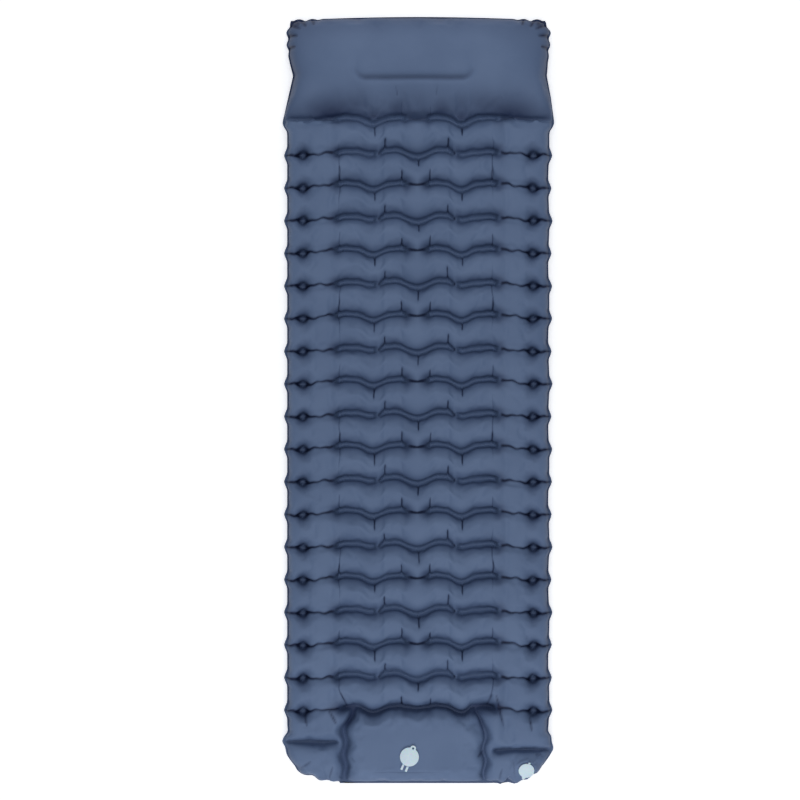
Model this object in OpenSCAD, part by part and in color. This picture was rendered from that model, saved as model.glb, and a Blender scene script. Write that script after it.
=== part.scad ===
// Inflatable sleeping mattress with a built-in foot pump and pillow.
// Two coated sheets are welded to each other along rows of dashes, round their rim and round the pump.
// Frame: +Z up, +Y towards the pillow, origin on the ground below the middle of the mattress.

/* [Mattress] */
// Width over the rim weld
mat_width = 686; // [600:2:840]
// Length of the pillow chamber, from the head edge to the first weld row
pillow_length = 265; // [200:5:330]
// Length of the pump chamber, from the last weld row to the foot edge
pump_length = 191; // [170:1:230]
// Number of cross tubes between the pillow and the pump
tube_count = 18; // [8:2:22]
// Spacing of the weld rows
tube_pitch = 83; // [69:1:100]
// Width of a weld line between two chambers
weld_width = 7; // [4:0.5:10]
// Width of the flat rim weld
rim_width = 6; // [4:0.5:10]
// Thickness of each sheet
sheet_wall = 1; // [0.8:0.1:1.5]
// Height of the weld plane above the ground
weld_height = 36; // [30:1:37]
// Height of the pillow above the weld plane
pillow_rise = 68; // [50:1:80]
// Distance from a side edge to the line of spot welds
spot_inset = 48; // [42:1:60]
// Distance from a side edge to where the weld rows start
row_inset = 137; // [120:1:160]
// Radius of the mattress corners in plan
corner_radius = 58; // [40:1:70]

/* [Pump] */
// Width of the pump chamber
pump_width = 344; // [280:2:380]
// How far the pump sits to the left of the middle
pump_offset = 10; // [0:1:20]
// Height of the pump's top panel above the weld plane
pump_rise = 40; // [38:1:48]
// Radius of the pump chamber's upper edges
pump_edge = 34; // [24:1:36]
// Travel of the panel under a foot
press_travel = 33; // [20:1:33]

/* [Pump intake valve] */
// Radius of the intake cap
intake_cap_r = 24; // [22:0.5:28]
// Bore radius of the intake neck
intake_bore_r = 14; // [11.5:0.1:17]
// Distance from the foot edge to the intake's axis
intake_inset = 73; // [68:1:90]
// Distance of the intake's axis to the left of the middle
intake_left = 22; // [0:1:30]
// Direction of the pull ring, clockwise from the head
intake_turn = 23.5; // [0:0.5:40]

/* [Main air valve] */
// Radius of the main valve's cap
valve_cap_r = 19.8; // [18:0.2:21]
// Bore radius of the main valve's neck
valve_bore_r = 12.5; // [10.4:0.1:15]
// Distance from the foot edge to the valve's centre
valve_inset_y = 39; // [38:0.5:46]
// Distance from the right side edge to the valve's centre
valve_inset_x = 69; // [64:1:90]
// Tilt of the valve towards the foot
valve_tilt = 20; // [10:1:24]
// Direction of the pull tab, clockwise from the foot
valve_turn = 19.5; // [0:0.5:30]
// How far the inflation seat pulls out
seat_travel = 12; // [8:1:16]

/* [Hidden] */
$fn = 96;

// Overall places, measured along Y from the middle of the mattress
mat_length = pillow_length + tube_count * tube_pitch + pump_length;
head_y = mat_length / 2;
foot_y = -head_y;
function row_y(k) = head_y - pillow_length - k * tube_pitch;
function tube_y(k) = row_y(k) - tube_pitch / 2;
tube_r = (tube_pitch - weld_width) / 2;
half_w = mat_width / 2;
chamber_half_w = half_w - rim_width;
last_row_y = row_y(tube_count);
half_weld = weld_width / 2;
through = 1;                 // how far a cutting shape runs past the face that it cuts
fit_gap = 0.3;               // air between neighbouring pieces that don't touch

// Side edges: the chambers round down to the rim
side_clear = 0.6;            // between the chambers' straight sides and the corners' rounding shape
side_edge_r = 40;
side_edge_up = 5;            // straight part of a chamber's end above the rim
rail_clear = 9;              // how far a lengthwise channel keeps from the welds beside it
rail_x = half_w - (spot_inset + row_inset) / 2;
rail_r = (row_inset - spot_inset) / 2 - rail_clear;

// Radii that the pillow and the foot corners are rounded with, in a lengthwise section
pillow_corner = 55;
pillow_under_corner = weld_height - 2;
foot_corner = tube_r - 4;
well_corner = weld_height - 6;

// Foot corners: one cross chamber and one corner chamber on each side of the pump
corner_row_y = last_row_y - pump_length / 2;
pump_left_x = -pump_offset - pump_width / 2;
pump_right_x = -pump_offset + pump_width / 2;
pump_head_y = last_row_y - half_weld;
pump_foot_y = foot_y + rim_width;
pump_depth = pump_head_y - pump_foot_y;
pump_mid_y = (pump_head_y + pump_foot_y) / 2;
pump_side_rise = 6;          // how far the pump's left and right edges are rounder than its ends
seam_step = half_weld;       // width of the pump's own weld flange
liner_wall = 1;

// Pillow tie band: an upright loop of film between the two sheets
tie_length = 300;
tie_depth = 85;
tie_corner = 30;
tie_wall = 1;
tie_port_r = 9;
tie_port_count = 4;
tie_from_head = 108;
tie_mid_y = head_y - tie_from_head;

// Flat panel on top of the pump
panel_half_x = pump_width / 2 - pump_edge - pump_side_rise - 2;
panel_half_y = pump_depth / 2 - pump_edge - 1;
panel_corner = 10;

// Foam block
foam_gap = 1.5;
foam_half_w = pump_width / 2 - pump_edge - foam_gap;
foam_half_d = pump_depth / 2 - pump_edge - foam_gap;
foam_corner = 12;
foam_bottom = liner_wall;
foam_top = pump_rise - sheet_wall;
foam_intake_recess = 16;
foam_transfer_recess = 9;
foam_recess_gap = 1;

// Flap valves: a silicone disc with a stem and a bulb that hold it to a spoked seat
flap_wall = 0.8;
stem_r = 1.4;
bulb_r = 2.4;
hub_hole_r = 1.7;
hub_r = 3.6;
spoke_w = 2.2;
spoke_count = 4;
spoke_wall = 1.5;
flap_gap = 0.1;
flap_travel = 1.8;
bulb_h = 1.2;
flap_lap = 1.6;              // how far a flap reaches past the opening that it shuts
overlap = 0.3;               // how far the pieces of one moulding run into each other

// Transfer valve in the pump liner
transfer_x = 60;
transfer_y = pump_head_y - 44;
transfer_r = 15;
transfer_bore_r = 10;
seat_ledge = 1;              // how far a spoked seat's ring reaches into the bore around it

// Intake valve, along its own axis from the panel's top face
intake_x = -intake_left;
intake_y = foot_y + intake_inset;
intake_z = weld_height + pump_rise;
neck_wall = 3;
flange_wall = 1.2;
flange_reach = 12;           // how far the intake's flange reaches past its neck
intake_flange_r = intake_bore_r + neck_wall + flange_reach;
intake_ledge = 2;
intake_neck_top = 3.0;
cap_wall = 2.0;
cap_lift = 0.2;
cap_skirt = 2.4;
cap_skirt_wall = 1.5;
skirt_gap = 0.35;
ring_r = 7.4;
ring_hole_r = 2.8;
ring_out = intake_cap_r - 0.5;
tether_ring_w = 3;
tether_gap = 0.1;            // between a tether's ring and the neck that it grips
strap_w = 5.5;
strap_wall = 1.2;
strap_side = 6;
strap_reach = 14;
tether_lift = 0.2;           // between the panel and the tether's ring
hinge_gap = 0.4;

// Main valve, along its own axis from the fabric's outer face
valve_x = half_w - valve_inset_x;
valve_y = foot_y + valve_inset_y;
valve_drop = 3.5;            // how far the valve's centre lies below the foot chamber's crest
valve_rise = tube_r - valve_drop;
valve_z = weld_height + valve_rise;
valve_boss_r = 23;
valve_boss_depth = 16;
valve_flange_r = valve_boss_r - sheet_wall - 0.6;
valve_neck_top = 2.6;
seat_gap = 0.25;
seat_wall = 2.25;
seat_bore_r = valve_bore_r - seat_gap - seat_wall;
seat_lip_r = valve_bore_r + neck_wall - 0.6;
seat_lip = 1.2;
seat_lift = 0.1;             // between the neck's rim and the seat's lip
seat_ring_w = 1.5;
seat_bottom = -2.4;
valve_strap_reach = 4;
tab_reach = 26;
tab_w = 7;
tab_root = 3;                // how far the tab's root lies inside the cap's rim

// --- shared 2D and 3D shapes -------------------------------------------------

// A round-cornered bar in the plane, with its lower edge at z = from, for chamber cross-sections
module round_top(length, rise, corner, from) {
    half = length / 2;
    translate([-half, from]) square([length, rise - corner - from]);
    translate([-half + corner, from]) square([length - 2 * corner, rise - from]);
    for (side = [-1, 1])
        translate([side * (half - corner), rise - corner]) circle(corner);
}

// Extrudes a Y-Z cross-section along X between two places
module along_x(x0, x1) {
    translate([x0, 0, 0]) rotate([90, 0, 90]) linear_extrude(x1 - x0) children();
}

// Extrudes an X-Z cross-section along Y between two places
module along_y(y0, y1) {
    translate([0, y1, 0]) rotate([90, 0, 0]) linear_extrude(y1 - y0) children();
}

// A flat plate with round corners
module round_plate(half_x, half_y, corner, height) {
    linear_extrude(height) round_rect(half_x, half_y, corner);
}

module round_rect(half_x, half_y, corner) {
    square([2 * half_x, 2 * (half_y - corner)], center = true);
    square([2 * (half_x - corner), 2 * half_y], center = true);
    for (sx = [-1, 1], sy = [-1, 1])
        translate([sx * (half_x - corner), sy * (half_y - corner)]) circle(corner);
}

module ring(outer_r, inner_r, low, high) {
    translate([0, 0, low]) difference() {
        cylinder(r = outer_r, h = high - low);
        translate([0, 0, -through]) cylinder(r = inner_r, h = high - low + 2 * through);
    }
}

// --- chambers: the air space of one sheet, inset by the wall, above z = 0 -----

// Rounds the chambers' ends down to the rim along both sides
module side_envelope(inset, rise, corner) {
    along_y(foot_y - through, head_y + through)
        round_top(2 * (chamber_half_w - inset), rise - inset, corner - inset, -through);
}

module tubes(inset) {
    intersection() {
        along_x(-half_w, half_w)
            for (k = [0 : tube_count - 1])
                translate([tube_y(k), 0]) circle(tube_r - inset);
        side_envelope(inset, side_edge_r + side_edge_up, side_edge_r);
    }
}

// Two lengthwise channels that join every tube, between the spot welds and the weld rows
module rails(inset) {
    for (side = [-1, 1])
        translate([side * rail_x, last_row_y - tube_r, 0]) rotate([-90, 0, 0])
            cylinder(r = rail_r - inset, h = row_y(0) - last_row_y + 2 * tube_r);
}

module pillow_chamber(inset, rise, corner) {
    length = pillow_length - rim_width - half_weld;
    intersection() {
        along_x(-half_w, half_w) translate([head_y - rim_width - length / 2, 0])
            round_top(length - 2 * inset, rise - inset, corner - inset, -through);
        side_envelope(inset, rise + 4, corner);
    }
}

// The cross chamber and the corner chamber on each side of the pump
module foot_chambers(inset) {
    intersection() {
        union() {
            foot_chamber_pair(corner_row_y + half_weld, pump_head_y, inset);
            foot_chamber_pair(pump_foot_y, corner_row_y - half_weld, inset);
        }
        side_envelope(inset, side_edge_r + side_edge_up, side_edge_r);
    }
}

// One chamber on each side of the pump, between two places along Y
module foot_chamber_pair(y0, y1, inset) {
    for (span = [[-half_w, pump_left_x - weld_width], [pump_right_x + weld_width, half_w]])
        along_x(span[0] + inset, span[1] - inset) translate([(y0 + y1) / 2, 0])
            round_top(y1 - y0 - 2 * inset, tube_r - inset, foot_corner - inset, -through);
}

// Plan outline of the mattress, cut back by an inset
module outline(inset) {
    round_rect(half_w - inset, head_y - inset, corner_radius - inset);
}

// Rounds the chambers off at the mattress's corners, and clears their straight sides
module plan_limit(inset) {
    translate([0, 0, -2 * pillow_rise]) linear_extrude(4 * pillow_rise) outline(inset - side_clear);
}

module upper_chambers(inset) {
    intersection() {
        union() {
            tubes(inset);
            rails(inset);
            pillow_chamber(inset, pillow_rise, pillow_corner);
            foot_chambers(inset);
        }
        plan_limit(rim_width + inset);
    }
}

// The lower chambers rest on the ground, so their undersides are flat there
module lower_chambers(inset) {
    intersection() {
        union() {
            tubes(inset);
            rails(inset);
            pillow_chamber(inset, weld_height + through, pillow_under_corner);
            foot_chambers(inset);
            pump_well(inset);
        }
        plan_limit(rim_width + inset);
        translate([-half_w, foot_y, -through])
            cube([mat_width, mat_length, weld_height - inset + through]);
    }
}

// The pump's space below the weld plane
module pump_well(inset) {
    intersection() {
        along_x(pump_left_x + inset, pump_right_x - inset) translate([pump_mid_y, 0])
            round_top(pump_depth - 2 * inset, weld_height + through - inset, well_corner - inset, -through);
        along_y(foot_y, last_row_y) translate([-pump_offset, 0])
            round_top(pump_width - 2 * inset, weld_height + 2 * through - inset, well_corner - inset, -through);
    }
}

// Everything above the weld plane that belongs to the pump's own panels
module pump_zone(grow, height) {
    translate([pump_left_x - grow, pump_foot_y - grow, 0])
        cube([pump_width + 2 * grow, pump_depth + 2 * grow, height]);
}

// --- sheets ------------------------------------------------------------------

module top_sheet() {
    color("#4f6285")
    translate([0, 0, weld_height]) difference() {
        union() {
            intersection() {
                upper_chambers(0);
                cube([2 * mat_width, 2 * mat_length, 4 * pillow_rise], center = true);
                translate([-half_w, foot_y, 0]) cube([mat_width, mat_length, 2 * pillow_rise]);
            }
            linear_extrude(sheet_wall) outline(0);
            valve_boss(0);
        }
        upper_chambers(sheet_wall);
        valve_boss(sheet_wall);
        above_valve_boss();
        translate([0, 0, -through]) pump_zone(seam_step, 2 * pillow_rise);
        to_valve() translate([0, 0, -sheet_wall - through])
            cylinder(r = valve_bore_r + neck_wall + fit_gap, h = sheet_wall + 2 * through);
    }
}

module bottom_sheet() {
    color("#33415f")
    translate([0, 0, weld_height]) mirror([0, 0, 1]) difference() {
        union() {
            intersection() {
                lower_chambers(0);
                translate([-half_w, foot_y, 0]) cube([mat_width, mat_length, weld_height]);
            }
            linear_extrude(sheet_wall) outline(0);
        }
        lower_chambers(sheet_wall);
    }
}

// Upright band that ties the pillow's top to its underside, with ports that let the air through
module pillow_tie_band() {
    low = sheet_wall;
    high = weld_height + pillow_rise - sheet_wall;
    color("#6d7c99")
    translate([-pump_offset, tie_mid_y, low]) difference() {
        round_plate(tie_length / 2, tie_depth / 2, tie_corner, high - low);
        translate([0, 0, -through])
            round_plate(tie_length / 2 - tie_wall, tie_depth / 2 - tie_wall,
                tie_corner - tie_wall, high - low + 2 * through);
        for (i = [0 : tie_port_count - 1])
            translate([(i - (tie_port_count - 1) / 2) * tie_length / (tie_port_count + 1), 0,
                (high - low) / 2])
                rotate([90, 0, 0]) cylinder(r = tie_port_r, h = 2 * tie_depth, center = true);
    }
}

// --- pump --------------------------------------------------------------------

// The dome over the foam, inset by the wall, above z = 0
module pump_dome(inset) {
    side_rise = pump_rise + pump_side_rise;
    side_edge = pump_edge + pump_side_rise;
    intersection() {
        along_x(pump_left_x + inset, pump_right_x - inset) translate([pump_mid_y, 0])
            round_top(pump_depth - 2 * inset, pump_rise - inset, pump_edge - inset, -through);
        along_y(pump_foot_y - through, pump_head_y + through) translate([-pump_offset, 0])
            round_top(pump_width - 2 * inset, side_rise - inset, side_edge - inset, -through);
    }
}

// The flat panel over the foam, which a foot presses down
module pump_panel() {
    color("#4f6285")
    translate([-pump_offset, pump_mid_y, intake_z - sheet_wall]) difference() {
        round_plate(panel_half_x, panel_half_y, panel_corner, sheet_wall);
        translate([intake_x + pump_offset, intake_y - pump_mid_y, -through])
            cylinder(r = intake_bore_r + neck_wall + fit_gap, h = sheet_wall + 2 * through);
    }
}

// The sloping border between the panel and the pump's welds
module pump_side_panel() {
    color("#4f6285")
    translate([0, 0, weld_height]) difference() {
        union() {
            intersection() {
                pump_dome(0);
                translate([0, 0, liner_wall]) pump_zone(0, pump_rise);
            }
            translate([0, 0, liner_wall]) pump_zone(seam_step - fit_gap, sheet_wall);
        }
        pump_dome(sheet_wall);
        translate([-pump_offset, pump_mid_y, pump_rise - sheet_wall - through])
            round_plate(panel_half_x + fit_gap, panel_half_y + fit_gap, panel_corner + fit_gap,
                sheet_wall + 2 * through);
    }
}

// Film floor of the pump chamber, welded in with the pump's rim
module pump_liner() {
    color("#8f9db5")
    translate([0, 0, weld_height]) difference() {
        pump_zone(seam_step - fit_gap, liner_wall);
        translate([transfer_x, transfer_y, -through])
            cylinder(r = transfer_bore_r, h = liner_wall + 2 * through);
    }
}

// Open-cell foam that springs the pump back, with recesses round both valves
module pump_foam() {
    color("#d9d6c8")
    translate([0, 0, weld_height + foam_bottom]) difference() {
        translate([-pump_offset, pump_mid_y, 0])
            round_plate(foam_half_w, foam_half_d, foam_corner, foam_top - foam_bottom);
        translate([intake_x, intake_y, foam_top - foam_bottom - foam_intake_recess])
            cylinder(r = intake_flange_r + foam_recess_gap, h = foam_intake_recess + through);
        translate([transfer_x, transfer_y, -through])
            cylinder(r = transfer_r + foam_recess_gap, h = foam_transfer_recess + through);
    }
}

// --- flap valves --------------------------------------------------------------

// A spoked seat between two heights: an outer ring, four spokes and a hub with a hole
module spoked_seat(outer_r, bore_r, low, high) {
    difference() {
        union() {
            ring(outer_r, bore_r, low, high);
            translate([0, 0, low]) cylinder(r = hub_r, h = high - low);
            for (i = [0 : spoke_count - 1])
                rotate([0, 0, i * 360 / spoke_count]) translate([0, -spoke_w / 2, low])
                    cube([(outer_r + bore_r) / 2, spoke_w, high - low]);
        }
        translate([0, 0, low - through]) cylinder(r = hub_hole_r, h = high - low + 2 * through);
    }
}

// A silicone disc below a seat, held by a stem and a bulb above the hub
module flap(disc_r, seat_low, seat_high) {
    disc_top = seat_low - flap_gap;
    bulb_low = seat_high + flap_travel + flap_gap;
    translate([0, 0, disc_top - flap_wall]) cylinder(r = disc_r, h = flap_wall);
    translate([0, 0, disc_top - flap_wall / 2])
        cylinder(r = stem_r, h = bulb_low - disc_top + flap_wall / 2 + overlap);
    translate([0, 0, bulb_low]) cylinder(r1 = bulb_r, r2 = stem_r, h = bulb_h);
}

transfer_seat_high = 0;
transfer_seat_low = transfer_seat_high - spoke_wall;

module to_transfer() {
    translate([transfer_x, transfer_y, weld_height]) children();
}

module transfer_valve_seat() {
    color("#b9c6cf")
    to_transfer()
        spoked_seat(transfer_r, transfer_bore_r - seat_ledge, transfer_seat_low, transfer_seat_high);
}

module transfer_valve_flap() {
    color("#dfe6ea")
    to_transfer() flap(transfer_bore_r + flap_lap, transfer_seat_low, transfer_seat_high);
}

// --- intake valve ---------------------------------------------------------------

module to_intake() {
    translate([intake_x, intake_y, intake_z]) rotate([0, 0, -intake_turn]) children();
}

intake_seat_low = -sheet_wall - flange_wall;
intake_seat_high = intake_seat_low + spoke_wall;

// Flange welded under the panel, with its neck and the spoked seat for the intake flap
module intake_flange() {
    neck_r = intake_bore_r + neck_wall;
    color("#bcd3e2")
    to_intake() {
        difference() {
            union() {
                translate([0, 0, intake_seat_low]) cylinder(r = intake_flange_r, h = flange_wall);
                translate([0, 0, intake_seat_low])
                    cylinder(r = neck_r, h = intake_neck_top - intake_seat_low);
            }
            translate([0, 0, intake_seat_low - through])
                cylinder(r = intake_bore_r, h = intake_neck_top - intake_seat_low + 2 * through);
        }
        spoked_seat(intake_bore_r + overlap, intake_bore_r - intake_ledge,
            intake_seat_low, intake_seat_high);
    }
}

module intake_flap() {
    color("#dfe6ea")
    to_intake() flap(intake_bore_r - intake_ledge + flap_lap, intake_seat_low, intake_seat_high);
}

intake_cap_low = intake_neck_top + cap_lift;
intake_cap_high = intake_cap_low + cap_wall;
intake_hinge_y = -(intake_cap_r + hinge_gap);

// Cap with a hollow plug below it and a pull ring on its rim
module intake_cap() {
    color("#c3dbea")
    to_intake() {
        difference() {
            union() {
                translate([0, 0, intake_cap_low]) cylinder(r = intake_cap_r, h = cap_wall);
                translate([0, ring_out, intake_cap_low]) cylinder(r = ring_r, h = cap_wall);
            }
            translate([0, ring_out, intake_cap_low - through])
                cylinder(r = ring_hole_r, h = cap_wall + 2 * through);
        }
        plug_skirt(intake_bore_r - skirt_gap, intake_cap_low);
    }
}

module plug_skirt(outer_r, top) {
    ring(outer_r, outer_r - cap_skirt_wall, top - cap_skirt, top + overlap);
}

// Twin straps: each leaves a ring round the neck, runs out under the cap, turns and comes back
module intake_tether() {
    ring_low = tether_lift;
    neck_r = intake_bore_r + neck_wall;
    color("#dfeaf1")
    to_intake() {
        ring(neck_r + tether_ring_w, neck_r + tether_gap, ring_low, ring_low + strap_wall);
        for (side = [-1, 1])
            translate([side * strap_side - strap_w / 2, 0, 0])
                strap_loop(-(neck_r + tether_ring_w / 2), -(intake_cap_r + strap_reach),
                    intake_hinge_y - hinge_gap, ring_low, intake_cap_high - fit_gap - strap_wall);
    }
}

// A flat strap from y = start out to y = tip at height low, turned over and back to y = end at height high
module strap_loop(start, tip, end, low, high) {
    bend_r = (high + strap_wall - low) / 2;
    translate([0, tip + bend_r, low]) cube([strap_w, start - tip - bend_r, strap_wall]);
    translate([0, tip + bend_r, high]) cube([strap_w, end - tip - bend_r, strap_wall]);
    translate([0, tip + bend_r, low + bend_r]) rotate([0, 90, 0]) intersection() {
        ring(bend_r, bend_r - strap_wall, 0, strap_w);
        translate([-bend_r, -bend_r, 0]) cube([2 * bend_r, bend_r, strap_w]);
    }
}

// --- main air valve --------------------------------------------------------------

// The valve's own frame: its pull tab points along -Y
module to_valve_world() {
    translate([valve_x, valve_y, valve_z]) rotate([valve_tilt, 0, 0])
        rotate([0, 0, -valve_turn]) children();
}

// The same place seen from the weld plane, which the sheets are built on
module to_valve() {
    translate([0, 0, -weld_height]) to_valve_world() children();
}

// A flat round patch that the fabric makes over the valve's flange
module valve_boss(inset) {
    to_valve() translate([0, 0, -valve_boss_depth - inset])
        cylinder(r = valve_boss_r - inset, h = valve_boss_depth);
}

module above_valve_boss() {
    to_valve() cylinder(r = valve_boss_r + fit_gap, h = 3 * valve_boss_r);
}

module valve_flange() {
    low = -sheet_wall - flange_wall;
    color("#bcd3e2")
    to_valve_world() difference() {
        union() {
            translate([0, 0, low]) cylinder(r = valve_flange_r, h = flange_wall);
            translate([0, 0, low]) cylinder(r = valve_bore_r + neck_wall, h = valve_neck_top - low);
        }
        translate([0, 0, low - through]) cylinder(r = valve_bore_r, h = valve_neck_top - low + 2 * through);
    }
}

seat_low = valve_neck_top + seat_lift;
seat_high = seat_low + seat_lip;

// Pull-out seat: a sleeve with a lip on the neck and spokes at its lower end
module valve_seat() {
    color("#cfe0ea")
    to_valve_world() {
        ring(valve_bore_r - seat_gap, seat_bore_r, seat_bottom, seat_high);
        ring(seat_lip_r, seat_bore_r, seat_low, seat_high);
        spoked_seat(seat_bore_r + overlap, seat_bore_r - seat_ring_w, seat_bottom, seat_bottom + spoke_wall);
    }
}

module valve_flap() {
    color("#dfe6ea")
    to_valve_world() flap(seat_bore_r - fit_gap, seat_bottom, seat_bottom + spoke_wall);
}

valve_cap_low = seat_high + cap_lift;
valve_hinge_y = valve_cap_r + hinge_gap;

// Cap with a hollow plug and a pointed pull tab
module valve_cap() {
    color("#c3dbea")
    to_valve_world() {
        translate([0, 0, valve_cap_low]) cylinder(r = valve_cap_r, h = cap_wall);
        translate([0, 0, valve_cap_low]) linear_extrude(cap_wall) pull_tab();
        plug_skirt(seat_bore_r - skirt_gap, valve_cap_low);
    }
}

// Plan of the tab: it narrows from the cap's edge to a round tip
module pull_tab() {
    tip_r = tab_w / 2;
    root_y = -valve_cap_r + tab_root;
    polygon([[-tab_w, root_y], [tab_w, root_y],
        [tip_r, -tab_reach + tip_r], [-tip_r, -tab_reach + tip_r]]);
    translate([0, -tab_reach + tip_r]) circle(tip_r);
}

// Strap ring round the seat, with one short loop to the cap's edge
module valve_tether() {
    bend_high = valve_cap_low + cap_wall - fit_gap - strap_wall;
    color("#dfeaf1")
    to_valve_world() {
        ring(seat_lip_r + tether_ring_w, seat_lip_r + tether_gap, seat_low, seat_high);
        rotate([0, 0, 180]) translate([-strap_w / 2, 0, 0])
            strap_loop(-(seat_lip_r + tether_ring_w / 2), -(valve_cap_r + valve_strap_reach),
                -valve_hinge_y - hinge_gap, seat_low, bend_high);
    }
}

top_sheet();
bottom_sheet();
pillow_tie_band();
pump_panel();
pump_side_panel();
pump_liner();
pump_foam();
transfer_valve_seat();
transfer_valve_flap();
intake_flange();
intake_flap();
intake_cap();
intake_tether();
valve_flange();
valve_seat();
valve_flap();
valve_cap();
valve_tether();
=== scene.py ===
import math

import bmesh
import bpy
import numpy as np
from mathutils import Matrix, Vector


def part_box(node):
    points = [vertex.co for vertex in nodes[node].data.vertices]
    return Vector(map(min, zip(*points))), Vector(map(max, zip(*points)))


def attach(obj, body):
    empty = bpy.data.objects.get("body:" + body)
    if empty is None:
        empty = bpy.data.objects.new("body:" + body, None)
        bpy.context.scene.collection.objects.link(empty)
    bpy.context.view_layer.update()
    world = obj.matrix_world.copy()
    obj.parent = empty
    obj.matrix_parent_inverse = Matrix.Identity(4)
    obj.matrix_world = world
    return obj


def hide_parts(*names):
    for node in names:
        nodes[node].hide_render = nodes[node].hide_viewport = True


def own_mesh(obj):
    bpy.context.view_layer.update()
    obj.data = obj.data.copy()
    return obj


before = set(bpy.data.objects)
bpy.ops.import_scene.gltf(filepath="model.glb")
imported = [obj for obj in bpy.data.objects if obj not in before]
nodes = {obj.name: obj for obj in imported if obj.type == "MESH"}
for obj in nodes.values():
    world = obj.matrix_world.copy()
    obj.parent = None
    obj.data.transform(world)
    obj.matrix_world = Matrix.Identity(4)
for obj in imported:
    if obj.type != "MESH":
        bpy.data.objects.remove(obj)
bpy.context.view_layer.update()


# ---- The weld plan ----
# An air mattress is two sheets of coated nylon, cut alike and heat-welded flat against each
# other: a rim all round, and across the bed nineteen rows of wavy dashes whose gaps let the air
# through. Between the welds the sheets stand apart as tubes, so every fold starts from this plan.

sheet_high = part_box("top_sheet")[1]
HALF_WIDTH = sheet_high.x
HEAD = sheet_high.y
WELD_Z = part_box("pump_foam")[0].z - 0.001
MM = 0.001
RIM = 6 * MM
WELD = 3.5 * MM
CREASE = 0.8 * MM
ROWS = 18
PITCH = 83 * MM
FIRST_ROW = HEAD - RIM - 259 * MM
LAST_ROW = FIRST_ROW - ROWS * PITCH
SPOT = 294.5 * MM
CELL = 7 * MM
RELAXING_STEPS = 2600

WAVES = [
    [(-343, -5), (-294.5, -6), (-207, 3), (-184, 7), (-158, 5), (-115, -9), (-66, 5), (-46, 7), (-31, 4),
     (-3, 1), (25, 4), (46, 8), (66, 6), (110, -10), (156, 5), (184, 7), (203, 4), (294.5, -6), (343, -5)],
    [(-343, -5), (-294.5, -6), (-207, -1), (-184, 4), (-158, 4), (-120, -2.5), (-98, -1), (-80, 6), (-58, 8),
     (-2, -9), (54, 8), (74, 7), (92, -1), (113, -4), (145, 1), (184, 4), (203, 0), (294.5, -6), (343, -5)],
]
DASHES = [[(-207, -31), (25, 203)], [(-207, -106), (-94, 86), (99, 203)]]
PINCHES_HEADWARD = [[-199, -42, 31, 188], [-84, 75]]
PINCHES_FOOTWARD = [[-111, 112], [1]]
PUMP_SEAMS = (-186 * MM, 166 * MM)
SIDE_WELDS = [(-1, -206 * MM, -870 * MM), (1, 191 * MM, -886 * MM)]


def ramp(t):
    """0 to 1 with a soft start and a soft end."""
    t = np.clip(t, 0, 1)
    return t * t * (3 - 2 * t)


def curve_through(x, points):
    """A smooth curve through points that are given in millimetres."""
    px, py = (np.array(points) * MM).T
    i = np.clip(np.searchsorted(px, x) - 1, 0, len(px) - 2)
    return py[i] + (py[i + 1] - py[i]) * ramp((x - px[i]) / (px[i + 1] - px[i]))


def in_dash(x, kind, soft=5 * MM):
    """1 along the welded dashes of one kind of row, fading to 0 past their ends."""
    inside = np.zeros_like(x)
    for start, end in DASHES[kind]:
        inside = np.maximum(inside, np.clip(np.minimum(x - start * MM, end * MM - x) / soft + 1, 0, 1))
    return inside


def column_places():
    """Even columns across the mattress, and one more at each edge of the rim."""
    half = HALF_WIDTH - RIM
    even = np.linspace(-half, half, 2 * int(half / CELL) + 1)
    return np.array([-HALF_WIDTH, *even, HALF_WIDTH])


def line_places():
    """Each line across the mattress: its place, how much it follows each wave, and its weld row."""
    lines = [(HEAD, 0, 0, 0, None), (HEAD - RIM, 0, 0, 0, None)]
    steps = 38
    for i in range(1, steps):
        t = i / steps
        lines.append((HEAD - RIM + (FIRST_ROW - HEAD + RIM) * t, ramp(2 * t - 1), 0, 0, None))
    for row in range(ROWS + 1):
        y = FIRST_ROW - row * PITCH
        even = 1 - row % 2
        lines.append((y, even, 1 - even, 1, row))
        lines.append((y, even, 1 - even, -1, row))
        steps = 13
        for i in range(1, steps if row < ROWS else 0):
            t = i / steps
            follow = even * (1 - t) + (1 - even) * t
            lines.append((y - WELD - (PITCH - 2 * WELD) * t, follow, 1 - follow, 0, None))
    steps = 27
    foot = -HEAD + RIM
    for i in range(1, steps):
        t = i / steps
        lines.append((LAST_ROW - WELD + (foot - LAST_ROW + WELD) * t, ramp(1 - 2.5 * t), 0, 0, None))
    return lines + [(foot, 0, 0, 0, None), (-HEAD, 0, 0, 0, None)]


OUTLINE_LEFT = [(975, 322), (945, 334), (900, 333), (860, 327), (825, 318), (775, 330), (712, 345),
                (680, 341), (-820, 341), (-850, 339), (-870, 347), (-882, 338), (-905, 331), (-945, 303),
                (-966, 252), (-975, 150)]
OUTLINE_RIGHT = [(975, 322), (945, 337), (900, 335), (860, 331), (825, 328), (775, 338), (712, 347),
                 (680, 341), (-820, 341), (-866, 340), (-886, 345), (-896, 335), (-915, 324), (-948, 300),
                 (-966, 270), (-975, 215)]


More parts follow.
